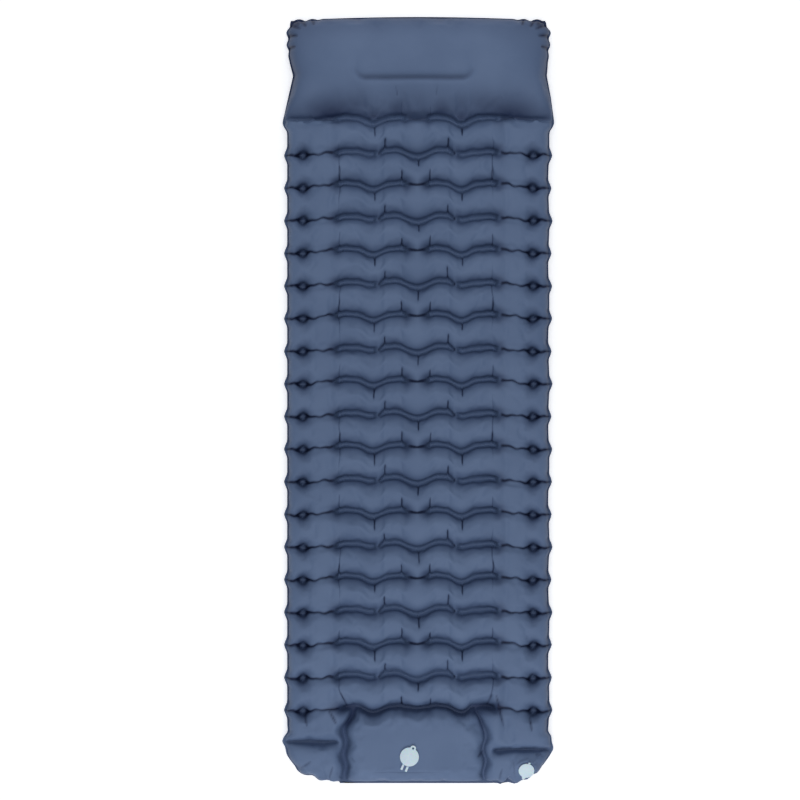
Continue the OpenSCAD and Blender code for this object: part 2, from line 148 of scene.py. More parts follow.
def lay_out():
    """The flat plan as lines and columns of points: places and row numbers."""
    columns = column_places()
    lines = line_places()
    y = np.array([line[0] for line in lines])
    follow = np.array([line[1:3] for line in lines])
    side = np.array([line[3] for line in lines])
    rows = np.array([-1 if line[4] is None else line[4] for line in lines])
    X = np.repeat(columns[None], len(y), 0)
    wave = [curve_through(columns, points) for points in WAVES]
    Y = y[:, None] + follow[:, :1] * wave[0] + follow[:, 1:] * wave[1]
    for j in np.nonzero(rows >= 0)[0]:
        dash = in_dash(columns, rows[j] % 2)
        if rows[j] == ROWS:
            dash = np.maximum(dash, (columns > PUMP_SEAMS[0]) & (columns < PUMP_SEAMS[1]))
        Y[j] += side[j] * (CREASE + (WELD - CREASE) * dash)
        aside = np.abs(columns)
        strip = ramp((aside - 207 * MM) / (18 * MM)) * ramp((335 * MM - aside) / (20 * MM))
        turn = rows[j] * 1.7 + np.where(columns > 0, 2.1, 0)
        unrest = 2.2 * np.sin(columns * 95 + turn * 2.3) + 1.4 * np.sin(columns * 210 + turn * 4.1)
        Y[j] += strip * unrest * MM
    # the pump's seams lean in towards the last row and wobble a little on the way down
    lean = ramp((Y - LAST_ROW + 52 * MM) / (50 * MM)) * ramp((LAST_ROW + 60 * MM - Y) / (60 * MM))
    below = np.clip((LAST_ROW - Y) / (185 * MM), 0, 1)
    for seam, way in zip(PUMP_SEAMS, (1, -1)):
        near = np.exp(-(((columns - seam) / (30 * MM)) ** 2))
        wobble = 3 * MM * np.sin(below * 19 + seam * 40) * ramp(below * 6) * ramp((1 - below) * 8)
        X += near * (way * 22 * MM * lean + wobble)
    # the rim's outline, with a small point at the end of each row
    inner = 200 * MM
    for way, outline in ((-1, OUTLINE_LEFT), (1, OUTLINE_RIGHT)):
        places, reach = np.array(outline[::-1]).T * MM
        edge = np.interp(y, places, reach)
        bed = ramp((FIRST_ROW - y) / (20 * MM)) * ramp((y + 860 * MM) / (20 * MM))
        row_end = np.minimum((FIRST_ROW - y) % PITCH, (y - FIRST_ROW) % PITCH)
        edge = edge - 8 * MM * bed * ramp(row_end / (24 * MM))
        if way == 1:
            edge = edge + 1.5 * MM * np.sin(y * 31) * bed
        outer = way * X > inner
        squeezed = way * (inner + (np.abs(X) - inner) * ((edge[:, None] - inner) / (HALF_WIDTH - inner)))
        X = np.where(outer, squeezed, X)
    head_bow = ramp((Y - 800 * MM) / (175 * MM)) * np.minimum((X / (290 * MM)) ** 2, 1)
    Y = Y - 7 * MM * head_bow
    # the corners of the rim gather into ruffles, three or four lumps to a side
    near_side = np.exp(-np.clip(HALF_WIDTH - 12 * MM - np.abs(X), 0, 1) / (12 * MM))
    near_head = np.exp(-np.clip(HEAD - 7 * MM - Y, 0, 1) / (12 * MM))
    ruffle = np.abs(np.sin(np.pi * (HEAD - Y + 6 * MM) / (31 * MM)))
    X = X + np.sign(X) * 7 * MM * (ruffle - 0.75) * near_side * ramp((Y - 845 * MM) / (60 * MM))
    ruffle = np.abs(np.sin(np.pi * (HALF_WIDTH - np.abs(X) + 9 * MM) / (33 * MM)))
    Y = Y + 6 * MM * (ruffle - 0.75) * near_head * ramp((np.abs(X) - 225 * MM) / (50 * MM))
    foot_corner = ramp((-905 * MM - Y) / (40 * MM)) * ramp((np.abs(X) - 200 * MM) / (60 * MM))
    rim_side = np.exp(-np.clip((HALF_WIDTH - np.abs(columns)) / (16 * MM), 0, 9))
    wave_out = (np.abs(np.sin(Y * 105 + X * 40)) - 0.6) * np.where(X > 0, 15, 7) * MM
    X = X + np.sign(X) * wave_out * foot_corner * rim_side
    near_foot = np.exp(-np.clip(Y + HEAD - 4 * MM, 0, 1) / (12 * MM))
    wave_down = (0.6 - np.abs(np.sin(X * 108 + 0.6))) * np.where(X > 0, 13, 6) * MM
    Y = Y + (wave_down + 3 * MM) * near_foot * ramp((np.abs(X) - 190 * MM) / (40 * MM))
    return {"X": X, "Y": Y, "columns": columns, "y": y, "rows": rows}


def weld_mask(plan, with_pump):
    """Which points of the plan are welded, rim and rows and spots."""
    X, Y, columns, rows = plan["X"], plan["Y"], plan["columns"], plan["rows"]
    held = np.zeros(X.shape, bool)
    held[:2] = held[-2:] = True
    held[:, :2] = held[:, -2:] = True
    for j in np.nonzero(rows >= 0)[0]:
        held[j] |= in_dash(columns, rows[j] % 2) > 0.99
        if rows[j] > 0:
            held[j] |= np.abs(np.abs(columns) - SPOT) < 0.6 * CELL
        if rows[j] == ROWS:
            held[j] |= (columns > PUMP_SEAMS[0]) & (columns < PUMP_SEAMS[1])
    foot = plan["y"] < LAST_ROW
    if with_pump:
        for seam in PUMP_SEAMS:
            held[np.ix_(foot, np.abs(columns - seam) < 0.6 * CELL)] = True
    for way, start, place in SIDE_WELDS:
        j = np.argmin(np.abs(plan["y"] - place))
        held[j] |= (way * columns > way * start) & (way * columns < HALF_WIDTH - 4 * MM)
    return held


def blow_up(plan, held, level, limit):
    """The height of a sheet blown up between its welds: each stretch an arc, lower where narrow."""
    X, Y = plan["X"], plan["Y"]
    dx = np.maximum(X[:, 2:] - X[:, :-2], 2 * MM)[1:-1] / 2
    dy = np.maximum(Y[:-2] - Y[2:], 2 * MM)[:, 1:-1] / 2
    wx = 1 / dx ** 2
    wy = 1 / dy ** 2
    free = ~held[1:-1, 1:-1]
    u = np.where(held, level ** 2 / 2, 0)
    for step in range(RELAXING_STEPS):
        inner = u[1:-1, 1:-1]
        flat = wx * (u[1:-1, 2:] + u[1:-1, :-2]) + wy * (u[2:, 1:-1] + u[:-2, 1:-1])
        inner += np.where(free, (flat + 1) / (2 * wx + 2 * wy) - inner, 0)
    height = np.sqrt(2 * u) + 1e-5
    height = (height ** -5 + limit ** -5) ** -0.2
    return np.where(held, level, height)


def new_object(name, data):
    """An object in the scene's own collection."""
    piece = bpy.data.objects.new(name, data)
    bpy.context.scene.collection.objects.link(piece)
    return piece


def grid_faces(lines, across):
    """The cells of a grid of points, each as the numbers of its four corners."""
    index = np.arange(lines * across).reshape(lines, across)
    return np.stack([index[1:, :-1], index[1:, 1:], index[:-1, 1:], index[:-1, :-1]], -1)


def smooth_faces(mesh):
    """Shades every face of a mesh smooth."""
    mesh.polygons.foreach_set("use_smooth", np.ones(len(mesh.polygons), bool))


def settle(points, held, tight, frames, slack, pressure):
    """The sheet under air pressure in Blender's cloth, held at its welds and cut a little large."""
    lines, across = held.shape
    faces = grid_faces(lines, across)
    mesh = bpy.data.meshes.new("sheet")
    mesh.from_pydata(points.reshape(-1, 3).tolist(), [], faces.reshape(-1, 4).tolist())
    piece = new_object("sheet", mesh)
    group = piece.vertex_groups.new(name="held")
    group.add(np.nonzero(held.ravel())[0].tolist(), 1, "REPLACE")
    firm = piece.vertex_groups.new(name="tight")
    for weight in np.unique(tight):
        firm.add(np.nonzero(tight.ravel() == weight)[0].tolist(), float(weight), "REPLACE")
    cloth = piece.modifiers.new("cloth", "CLOTH")
    cloth.collision_settings.use_collision = False
    cloth.point_cache.frame_end = frames
    settings = cloth.settings
    settings.quality = 5
    settings.mass = 0.1
    settings.tension_stiffness = 200
    settings.compression_stiffness = 200
    settings.shear_stiffness = 50
    settings.bending_stiffness = 0.02
    settings.tension_damping = 25
    settings.compression_damping = 25
    settings.shear_damping = 25
    settings.air_damping = 2
    settings.use_pressure = True
    settings.uniform_pressure_force = pressure
    settings.effector_weights.gravity = 0
    settings.vertex_group_shrink = "tight"
    settings.shrink_min = -slack
    settings.shrink_max = -0.004
    settings.vertex_group_mass = "held"
    settings.pin_stiffness = 10
    for step in range(1, frames + 1):
        bpy.context.scene.frame_set(step)
    settled = piece.evaluated_get(bpy.context.evaluated_depsgraph_get()).data
    flat = np.zeros(lines * across * 3, np.float32)
    settled.vertices.foreach_get("co", flat)
    bpy.data.objects.remove(piece)
    bpy.context.scene.frame_set(1)
    return flat.reshape(lines, across, 3).astype(float)


def refine(grid, times=1):
    """A grid of points or values at twice the lines and columns, smoothed as a subdivided surface is."""
    for turn in range(2 * times):
        middle = (grid[1:] + grid[:-1]) / 2
        kept = grid.copy()
        kept[1:-1] = (grid[2:] + 6 * grid[1:-1] + grid[:-2]) / 8
        finer = np.zeros((2 * len(grid) - 1,) + grid.shape[1:])
        finer[::2] = kept
        finer[1::2] = middle
        grid = np.swapaxes(finer, 0, 1)
    return grid


def grid_piece(name, points, shown, **values):
    """A mesh from the cells of a grid that are shown, with a value per point for each mask."""
    lines, across = points.shape[:2]
    faces = grid_faces(lines, across)[shown]
    used, faces = np.unique(faces, return_inverse=True)
    mesh = bpy.data.meshes.new(name)
    mesh.from_pydata(points.reshape(-1, 3)[used].tolist(), [], faces.reshape(-1, 4).tolist())
    for key, value in values.items():
        layer = mesh.attributes.new(key, "FLOAT", "POINT")
        layer.data.foreach_set("value", value.ravel()[used].astype(np.float32))
    smooth_faces(mesh)
    return new_object(name, mesh)


# ---- The top sheet, with the pump's cover ----
# Nylon laminated with TPU inside. Blown up it is tight along the tubes' crests and gathers
# at the welds, so creases run from the ends of the dashes, and a short pinch stands at each bend.

def from_row(y, shift=0):
    """How far each place is from the nearest row of welds, the rows moved footward by a shift."""
    return np.abs(((FIRST_ROW - y) + PITCH / 2 - shift) % PITCH - PITCH / 2)


plan = lay_out()
top_welds = weld_mask(plan, True)
X, Y, columns = plan["X"], plan["Y"], plan["columns"]

# the band inside the pillow holds its top down along a rounded rectangle
band_low, band_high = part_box("pillow_tie_band")
BAND_CORNER = 30 * MM
GROOVE_DROP = 12 * MM
band_mid = (band_low + band_high) / 2
band_half = (band_high - band_low) / 2
PILLOW_HEIGHT = 50 * MM
TUBE_HEIGHT = 39 * MM
PILLOW_SMOOTHING = 30
level = np.zeros(X.shape)
top_held = top_welds.copy()
# foam under the pump's cover keeps its middle flat
panel_low, panel_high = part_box("pump_panel")
PANEL_HEIGHT = panel_high.z - WELD_Z
on_panel = ((X > panel_low.x + 4 * MM) & (X < panel_high.x - 4 * MM)
            & (Y > panel_low.y + 4 * MM) & (Y < panel_high.y - 4 * MM))
level[on_panel] = PANEL_HEIGHT
top_held |= on_panel

# the air valve's flange keeps a round patch flat, tilted on the foot's corner
VALVE = Vector((274 * MM, -936 * MM, 70.5 * MM))
VALVE_TILT = math.radians(20)
VALVE_PATCH_R = 22.5 * MM
valve_reach = np.hypot(X - VALVE.x, (Y - VALVE.y) / math.cos(VALVE_TILT))
on_valve = valve_reach < VALVE_PATCH_R
level[on_valve] = (VALVE.z - WELD_Z + (Y - VALVE.y) * math.tan(VALVE_TILT))[on_valve]
top_held |= on_valve

into_pillow = np.clip((Y - FIRST_ROW + 4 * MM) / (95 * MM), 0, 1)
tube_limit = TUBE_HEIGHT * (1.05 + 0.45 * ramp((225 * MM - np.abs(X)) / (60 * MM)))
pillow_limit = (PILLOW_HEIGHT + 4 * MM) * np.sqrt(1e-3 + into_pillow * (2 - into_pillow))
limit = np.where(Y > FIRST_ROW, pillow_limit, tube_limit)
in_pump = (Y < LAST_ROW) & (X > PUMP_SEAMS[0] + 12 * MM) & (X < PUMP_SEAMS[1] - 12 * MM)
limit = np.where(in_pump | (valve_reach < 40 * MM), 100 * MM, limit)
rise = blow_up(plan, top_held, level, limit)
to_row = from_row(plan["y"])
bed = (plan["y"] < FIRST_ROW + 20 * MM) & (plan["y"] > LAST_ROW - 25 * MM)
dip = np.where(bed, 0.22 * np.exp(-((to_row / (13 * MM)) ** 2)), 0)[:, None]
from_spot = np.hypot(np.abs(columns)[None] - SPOT, to_row[:, None])
has_spots = bed & (plan["y"] < FIRST_ROW - PITCH / 2)
dip = dip + 0.48 * has_spots[:, None] * np.exp(-((from_spot / (18 * MM)) ** 2))
rise = np.where(top_held, rise, rise * (1 - dip))
top = np.stack([X, Y, WELD_Z + rise], -1)
tight = np.round(np.where(Y > FIRST_ROW, 0.8 * ramp((Y - FIRST_ROW) / (90 * MM)), 0.0), 1)
top = settle(top, top_held, tight, 14, 0.024, 8)
# the pillow's crown is drawn taut, so its small unevenness is evened out
smooth = (ramp((Y - FIRST_ROW - 55 * MM) / (50 * MM)) * ramp((HALF_WIDTH - 30 * MM - np.abs(X)) / (40 * MM))
          * ramp((HEAD - 25 * MM - Y) / (40 * MM)))[1:-1, 1:-1, None]
for turn in range(PILLOW_SMOOTHING):
    around = (top[2:, 1:-1] + top[:-2, 1:-1] + top[1:-1, 2:] + top[1:-1, :-2]) / 4
    top[1:-1, 1:-1] += 0.8 * smooth * (around - top[1:-1, 1:-1])
top = refine(top)
fine_rows = np.full(len(top), -1)
fine_rows[::2] = plan["rows"]
between = (plan["rows"][1:] == plan["rows"][:-1]) & (plan["rows"][1:] >= 0)
fine_rows[1::2][between] = plan["rows"][1:][between]
even_columns = np.zeros(2 * len(columns) - 1)
even_columns[::2] = columns
even_columns[1::2] = (columns[1:] + columns[:-1]) / 2
fine_flat = refine(np.stack([X, Y], -1))
dashes = np.array([in_dash(columns, row % 2) if row >= 0 else 0 * columns for row in plan["rows"]])
dashes[plan["rows"] == ROWS] = (0.12 * ramp((columns - PUMP_SEAMS[0]) / (20 * MM))
                                * ramp((PUMP_SEAMS[1] - columns) / (20 * MM)))
welded = refine(dashes)


def with_columns(grid, old, new):
    """The same surface with its columns at new places, on straight lines between the old ones."""
    at = np.clip(np.searchsorted(old, new) - 1, 0, len(old) - 2)
    part = ((new - old[at]) / (old[at + 1] - old[at])).reshape((1, -1) + (1,) * (grid.ndim - 2))
    return grid[:, at] * (1 - part) + grid[:, at + 1] * part


# five close columns at each pinch make it a crisp crease
pinches = np.array([p for rows in (PINCHES_HEADWARD, PINCHES_FOOTWARD) for row in rows for p in row]) * MM
beside = [p + d * MM for p in pinches for d in (-2.4, -1.2, 0, 1.2, 2.4)]
kept = [x for x in even_columns if np.abs(pinches - x).min() > 3.4 * MM]
fine_columns = np.array(sorted(kept + beside))
top, fine_flat, welded = (with_columns(g, even_columns, fine_columns) for g in (top, fine_flat, welded))
fine_x = fine_flat[..., 0]
fine_y = fine_flat[..., 1]

# the ends of the tubes and the pillow's edge swell out over the rim
swell = np.sin(np.pi * np.clip((top[..., 2] - WELD_Z) / (42 * MM), 0, 1)) ** 0.8
from_rim = (HALF_WIDTH - np.abs(fine_x))
side_swell = swell * np.exp(-((np.clip(from_rim - 8 * MM, 0, 1) / (22 * MM)) ** 2))
fine_row_end = from_row(fine_y[:, :1])
in_bed = (fine_y < FIRST_ROW) & (fine_y > LAST_ROW)
side_swell = side_swell * np.where(in_bed, ramp(fine_row_end / (26 * MM)), 0.8)
top[..., 0] += np.sign(top[..., 0]) * 7 * MM * side_swell
head_swell = swell * np.exp(-((np.clip(HEAD - 8 * MM - fine_y, 0, 1) / (22 * MM)) ** 2))
foot_swell = swell * np.exp(-((np.clip(fine_y + HEAD - 8 * MM, 0, 1) / (22 * MM)) ** 2))
top[..., 1] += 6 * MM * (head_swell - 0.6 * foot_swell)

# the sheet gathers in short folds over the foot's round corners, less so close to the air valve
corner = ramp((-872 * MM - fine_y) / (30 * MM)) * ramp((np.abs(fine_x) - 185 * MM) / (40 * MM))
to_edge = np.minimum(HALF_WIDTH - np.abs(fine_columns)[None], fine_y[:, :1] + HEAD)
along_corner = 0.81 * np.abs(fine_x) - 0.59 * fine_y
gather = (np.abs(np.sin(np.pi * along_corner / (29 * MM))) - 0.65) * np.where(fine_x > 0, 18, 9) * MM
from_valve = np.hypot(fine_x - VALVE.x, fine_y - VALVE.y)
gather = gather * corner * np.exp(-((to_edge / (24 * MM)) ** 2)) * ramp((from_valve - 21 * MM) / (9 * MM))
gathered = np.stack([np.sign(fine_x) * 0.6 * gather, -0.8 * gather], -1)
top[..., :2] += gathered


def normals(points):
    """The outward direction of a grid of points at each point."""
    out = np.cross(np.gradient(points, axis=1), -np.gradient(points, axis=0))
    return out / np.maximum(np.linalg.norm(out, axis=-1, keepdims=True), 1e-9)


def creases(flat, rows, columns, seed):
    """How deep each point lies in a crease, and how much the cloth is shaded beside a weld."""
    random = np.random.default_rng(seed)
    depth = np.zeros(flat.shape[:2])
    shade = np.zeros(flat.shape[:2])
    for row in range(ROWS + 1):
        line = flat[np.nonzero(rows == row)[0]].mean(0)
        reach = flat[..., 1] - line[None, :, 1]
        close = np.abs(reach) < 45 * MM
        open_row = 1 - in_dash(columns, row % 2)
        open_row = np.where(np.abs(np.abs(columns) - SPOT) < 4 * MM, 0, open_row)
        if row == ROWS:
            open_row = np.where((columns > PUMP_SEAMS[0]) & (columns < PUMP_SEAMS[1]), 0, open_row)
        open_row = open_row * (0.35 if row == 0 else 1)
        fade = np.interp(np.abs(columns) / MM, [0, 207, 225, 250, 285, 330, 343],
                         [1, 1, 0.9, 0.65, 1, 0.9, 0.4])
        depth += close * open_row * fade * (3.4 * MM * np.exp(-np.abs(reach) / (1.7 * MM))
                                            + 1.2 * MM * np.exp(-((reach / (6 * MM)) ** 2)))
        lip = in_dash(columns, row % 2) * (0.3 if row == ROWS else 1)
        depth += 1.5 * MM * lip * np.exp(-(((np.abs(reach) - 6.2 * MM) / (2.4 * MM)) ** 2))
        # painted shade beside each dash, round the dashes' outer ends and round the spot welds
        beside = in_dash(columns, row % 2, 14 * MM) * (0.75 + 0.2 * np.sin(columns * 60 + row * 2.6))
        shade = np.maximum(shade, beside * np.exp(-((reach / (15 * MM)) ** 2)))
        ends = [place for dash in DASHES[row % 2] for place in dash if abs(place) > 150 or row % 2 == 0]
        spots = [] if row == 0 else [-SPOT / MM, SPOT / MM]
        for place in ends + spots:
            around = np.hypot(columns[None] - place * MM, reach)
            shade = np.maximum(shade, 0.95 * np.exp(-((around / (18 * MM)) ** 2)))
        for way, places in ((1, PINCHES_HEADWARD[row % 2]), (-1, PINCHES_FOOTWARD[row % 2])):
            for place in places:
                if (row == 0 and way == 1 and abs(place) > 50) or (row == ROWS and way == -1):
                    continue
                outer = abs(place) > 150
                length = random.uniform(*((36, 54) if outer else (28, 44))) * MM
                strength = random.uniform(*((0.35, 0.6) if outer else (0.8, 1.1)))
                strength = strength * (0.3 if row == 0 and way == 1 else 1)
                lean = random.uniform(-0.05, 0.05)
                along = way * reach
                aside = np.abs(columns[None] - place * MM - lean * along)
                near = ramp((along - 0.5 * MM) / (3 * MM)) * ramp((length - along) / (length * 0.35))
                depth += close * near * strength * 4.6 * MM * np.exp(-aside / (1.4 * MM))
    # a faint wandering fold runs down the bed just outside the dashes
    y = flat[..., 1]
    in_bed = ramp((FIRST_ROW - 20 * MM - y) / (30 * MM)) * ramp((y - LAST_ROW) / (40 * MM))
    for place, turn in ((-199, 0.7), (188, 3.1)):
        wander = 2.5 * MM * np.sin(flat[..., 1] * 47 + turn) + 1.2 * MM * np.sin(flat[..., 1] * 131 + turn * 2)
        strength = np.clip(0.35 + 0.65 * np.sin(flat[..., 1] * 19 + turn * 5), 0, 1)
        aside = np.abs(columns[None] - place * MM - wander * 0.6)
        depth += in_bed * strength * 2.6 * MM * np.exp(-aside / (1.3 * MM))
    return depth, shade


def fold_line(points, start, end, deep, wide):
    """A straight crease between two places, in millimetres, deepest at its middle."""
    start, end = np.array(start) * MM, np.array(end) * MM
    way = end - start
    t = ((points[..., :2] - start) @ way) / (way @ way)
    aside = np.linalg.norm(points[..., :2] - start - np.clip(t, 0, 1)[..., None] * way, axis=-1)
    return deep * MM * np.exp(-aside / (wide * MM)) * np.sqrt(np.clip(4 * t * (1 - t), 0, 1))


depth, shade = creases(fine_flat, fine_rows, fine_columns, 4)
FOOT_FOLDS = [((-123, -942), (89, -943), 1.6, 1.5), ((-288, -792), (-281, -828), 3.2, 3),
              ((-226, -786), (-206, -822), 3.2, 3.6), ((196, -742), (217, -828), 3.2, 3.4),
              ((283, -800), (288, -840), 3.2, 3), ((-172, -903), (-158, -918), 1.5, 4),
              ((150, -905), (168, -890), 2.5, 4), ((-225, -960), (-215, -925), 2, 3),
              ((-300, -935), (-268, -912), 2, 4), ((318, -905), (296, -897), 2.5, 3),
              ((205, -962), (214, -930), 2, 3), ((246, -960), (240, -905), 1.5, 3)]
HEAD_FOLDS = [((-56, 792), (-52, 762), 2.2, 1.8), ((48, 794), (46, 764), 2.2, 1.8)]
for way in (-1, 1):
    for start, end in (((333, 955), (296, 938)), ((326, 972), (300, 948)), ((303, 968), (283, 944)),
                       ((334, 925), (302, 920)), ((272, 968), (262, 948)), ((331, 893), (309, 893))):
        HEAD_FOLDS.append(((way * start[0], start[1]), (way * end[0], end[1]), 3.6, 4))
for start, end, deep, wide in FOOT_FOLDS + HEAD_FOLDS:
    depth += fold_line(fine_flat, start, end, deep, wide)

# the pillow's slope sinks in soft pools beside its gathered middle; painted shade darkens these and more pools
# on the pillow and along the pump's top edge
POOLS = [(-215, 712, 85, 52, 1.0), (-160, 735, 60, 40, 0.6), (232, 712, 85, 52, 0.95), (172, 735, 60, 40, 0.6),
         (-52, 722, 34, 36, 0.8), (58, 722, 34, 36, 0.8), (-113, 712, 30, 24, 0.85), (111, 712, 30, 24, 0.85),
         (-128, -789, 42, 11, 0.8), (142, -793, 42, 11, 0.8), (-20, -790, 60, 9, 0.35)]
SUNK_POOLS = 6


def pool_at(x, y, wide, tall):
    """1 in the middle of a soft oval, given in millimetres, fading to 0 around it."""
    return np.exp(-(((fine_x - x * MM) / (wide * MM)) ** 2 + ((fine_y - y * MM) / (tall * MM)) ** 2))


for x, y, wide, tall, dark in POOLS[:SUNK_POOLS]:
    pool = pool_at(x, y, wide, tall)
    top[..., 2] -= 5 * MM * dark * pool * np.clip((top[..., 2] - WELD_Z) / (20 * MM), 0, 1)

# the spot welds are small flat discs with a dark ring: a shallow groove darkened by painted shade, round a
# disc paled by painted sheen
spot_row = from_row(fine_y, 6 * MM)
spot_aside = np.abs(np.abs(fine_columns)[None] - SPOT)
spot_reach = 0.5 * np.hypot(spot_aside, spot_row) + 0.4 * (spot_aside + spot_row)
spot_reach = np.where((fine_y < FIRST_ROW - 40 * MM) & (fine_y > LAST_ROW - 30 * MM), spot_reach, 1)
top[..., 2] = WELD_Z + (top[..., 2] - WELD_Z) * (0.25 + 0.75 * ramp((spot_reach - 5 * MM) / (10 * MM)))
welded = np.maximum(welded, 0.4 * (1 - ramp((spot_reach - 3 * MM) / (4 * MM))))
depth += 0.8 * MM * np.exp(-(((spot_reach - 9 * MM) / (3 * MM)) ** 2))

# the band inside the pillow draws its top in along a soft round-cornered line
reach_x = np.abs(fine_x - band_mid.x) - (band_half.x - BAND_CORNER)
reach_y = np.abs(fine_y - band_mid.y + GROOVE_DROP) - (band_half.y - BAND_CORNER)
from_band = (np.hypot(np.maximum(reach_x, 0), np.maximum(reach_y, 0))
             + np.minimum(np.maximum(reach_x, reach_y), 0) - BAND_CORNER)
towards_bed = ramp((band_mid.y - GROOVE_DROP - fine_y) / (60 * MM) + 0.5)
end_fade = ramp((band_half.x + 12 * MM - np.abs(fine_x - band_mid.x)) / (45 * MM)) * 0.7 + 0.3
groove = (2.2 + 4.8 * towards_bed) * end_fade * np.exp(-((from_band / ((15 - 6 * towards_bed) * MM)) ** 2))
groove += 1.7 * towards_bed * end_fade * np.exp(-np.abs(from_band) / (3 * MM))
top = top - normals(top) * depth[..., None]
top[..., 2] -= groove * MM
top[..., 2] = np.maximum(top[..., 2], WELD_Z + 0.25 * MM)
liner_low, liner_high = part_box("pump_liner")
over_liner = ((top[..., 0] > liner_low.x - 9 * MM) & (top[..., 0] < liner_high.x + 9 * MM)
              & (top[..., 1] > liner_low.y - 3 * MM) & (top[..., 1] < liner_high.y + 9 * MM))
top[..., 2] = np.where(over_liner, np.maximum(top[..., 2], liner_high.z + 0.3 * MM), top[..., 2])
# the air valve's flange lies flat under the sheet, which is welded over it
flange_low, flange_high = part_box("valve_flange")
VALVE_FLANGE_R = (flange_high.x - flange_low.x) / 2 + 5 * MM
valve_reach = np.hypot(top[..., 0] - VALVE.x, (top[..., 1] - VALVE.y) / math.cos(VALVE_TILT))
valve_plane = VALVE.z + (top[..., 1] - VALVE.y) * math.tan(VALVE_TILT) + 0.7 * MM
over_flange = (valve_reach < VALVE_FLANGE_R) & (to_edge > RIM + MM)
top[..., 2] = np.where(over_flange, np.maximum(top[..., 2], valve_plane), top[..., 2])
# painted shade: the cloth is coloured darker where it lies deep between the tubes and beside the welds, as
# shade would fall there
hollow_reach = (32 + 34 * ramp((fine_y - FIRST_ROW) / (12 * MM))) * MM
hollow = np.clip(1 - (top[..., 2] - WELD_Z) / hollow_reach, 0, 1) ** 1.15 * (1 - welded)
hollow = hollow * (1 - 0.5 * ramp((np.abs(fine_x) - HALF_WIDTH + 18 * MM) / (12 * MM)))
hollow = hollow * (1 - 0.4 * ramp((LAST_ROW - 35 * MM - fine_y) / (25 * MM)))
row_line = fine_flat[np.nonzero(fine_rows == 0)[0]].mean(0)[:, 1]
# painted shade beside the dashes, round their ends and round the spot welds, kept off the welds
hollow = np.maximum(hollow, 0.88 * shade * (1 - welded))
# painted shade in soft pools, on the pillow only above the first row
for x, y, wide, tall, dark in POOLS:
    pool = pool_at(x, y, wide, tall)
    above_row = ramp((fine_y - row_line) / (7 * MM)) if y > 0 else 1
    hollow = np.maximum(hollow, dark * pool * above_row * (1 - welded))

face_x = (fine_columns[1:] + fine_columns[:-1]) / 2
line_of = np.arange(len(top) - 1)
last_line = np.nonzero(fine_rows == ROWS)[0].max()
pump_cells = ((line_of >= last_line)[:, None] & (face_x > PUMP_SEAMS[0]) & (face_x < PUMP_SEAMS[1]))
INTAKE = Vector((-22 * MM, -902 * MM, panel_high.z))


def cut_hole(shown, reach, radius):
    """Leaves out the cells inside a round hole."""
    centre = (reach[1:, 1:] + reach[1:, :-1] + reach[:-1, 1:] + reach[:-1, :-1]) / 4
    return shown & (centre > radius)


intake_reach = np.hypot(top[..., 0] - INTAKE.x, top[..., 1] - INTAKE.y)
INTAKE_HOLE_R = 15 * MM
VALVE_HOLE_R = 13.5 * MM
cover_cells = cut_hole(pump_cells, intake_reach, INTAKE_HOLE_R)
sheet_cells = cut_hole(~pump_cells, valve_reach, VALVE_HOLE_R)

# fold carries each crease's depth and part of the pillow's groove for painted shade in the creases; weld
# carries painted sheen on the welds
masks = {"weld": welded, "fold": depth / MM + 0.22 * groove * towards_bed, "hollow": hollow}
top_fabric = grid_piece("top_fabric", top, sheet_cells, **masks)
pump_cover = grid_piece("pump_cover", top, cover_cells, **masks)
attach(top_fabric, "mattress")
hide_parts("top_sheet")
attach(pump_cover, "mattress")
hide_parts("pump_panel", "pump_side_panel")
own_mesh(pump_cover)


# ---- The bottom sheet ----
# The same cut and the same welds below; it lies flat wherever it rests on the ground.

bottom_held = weld_mask(plan, False)
drop = blow_up(plan, bottom_held, np.zeros(X.shape), np.full(X.shape, 200 * MM))
bottom = refine(np.stack([X, Y, WELD_Z - drop], -1))
bottom = with_columns(bottom, even_columns, fine_columns)
bottom[..., :2] += gathered
bottom_depth = creases(fine_flat, fine_rows, fine_columns, 11)[0]
ground = bottom[..., 2]
softness = 5 * MM
bottom[..., 2] = (ground + np.sqrt(ground ** 2 + softness ** 2)) / 2 - 0.3 * MM
bottom = bottom + normals(bottom) * bottom_depth[..., None]
bottom[..., 2] = np.clip(bottom[..., 2], 0.2 * MM, WELD_Z - 0.25 * MM)
every_cell = np.ones((len(bottom) - 1, bottom.shape[1] - 1), bool)
# the underside's creases get painted shade too, through fold
bottom_fabric = grid_piece("bottom_fabric", bottom[::-1], every_cell,
                           weld=welded[::-1], fold=bottom_depth[::-1] / MM)
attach(bottom_fabric, "mattress")
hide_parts("bottom_sheet")


def linear(code):
    """An sRGB hex colour as the linear values that a shader takes."""
    parts = [int(code[i:i + 2], 16) / 255 for i in (1, 3, 5)]
    return [c / 12.92 if c <= 0.04045 else ((c + 0.055) / 1.055) ** 2.4 for c in parts] + [1]


def add(material, kind, links=(), **settings):
    """A node with its settings, and its inputs linked from other nodes' outputs."""
    node = material.node_tree.nodes.new(kind)
    for key, value in settings.items():
        if hasattr(node, key):
            setattr(node, key, value)
        else:
            node.inputs[key.replace("_", " ")].default_value = value
    for socket, source in dict(links).items():
        material.node_tree.links.new(source, node.inputs[socket])
    return node


def blank_material(name):
    """A material whose nodes are all still to come."""
    material = bpy.data.materials.new(name)
    material.use_nodes = True
    material.node_tree.nodes.clear()
    return material


# drawn far coarser than the real thread, so that the weave shows at all
WEAVE = 0.0022


